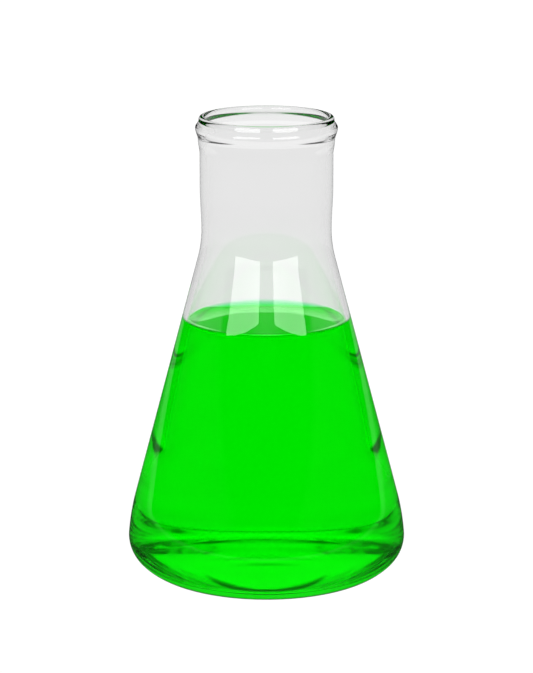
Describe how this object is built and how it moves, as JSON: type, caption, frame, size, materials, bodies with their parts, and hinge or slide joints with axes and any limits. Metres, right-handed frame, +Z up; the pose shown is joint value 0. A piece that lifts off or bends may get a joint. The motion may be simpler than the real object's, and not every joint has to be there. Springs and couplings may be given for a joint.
{
  "type": "erlenmeyer flask",
  "caption": "Wide-neck conical glass flask with a beaded rim, rounded heel and shallow hollowed base, holding a level body of clear green solution.",
  "frame": {"origin": "centre of the ring that the flask stands on, in the plane of the table", "axes": "+Z up along the flask's axis, out of the mouth; X and Y lie in the table plane, and the flask is round, so neither has a side of its own"},
  "size_m": [0.105, 0.105, 0.175],
  "materials": {
    "clear_glass": "polished",
    "green_solution": "gloss"
  },
  "bodies": {
    "root": {"glass_flask": "clear_glass", "green_solution": "green_solution"}
  },
  "joints": []
}
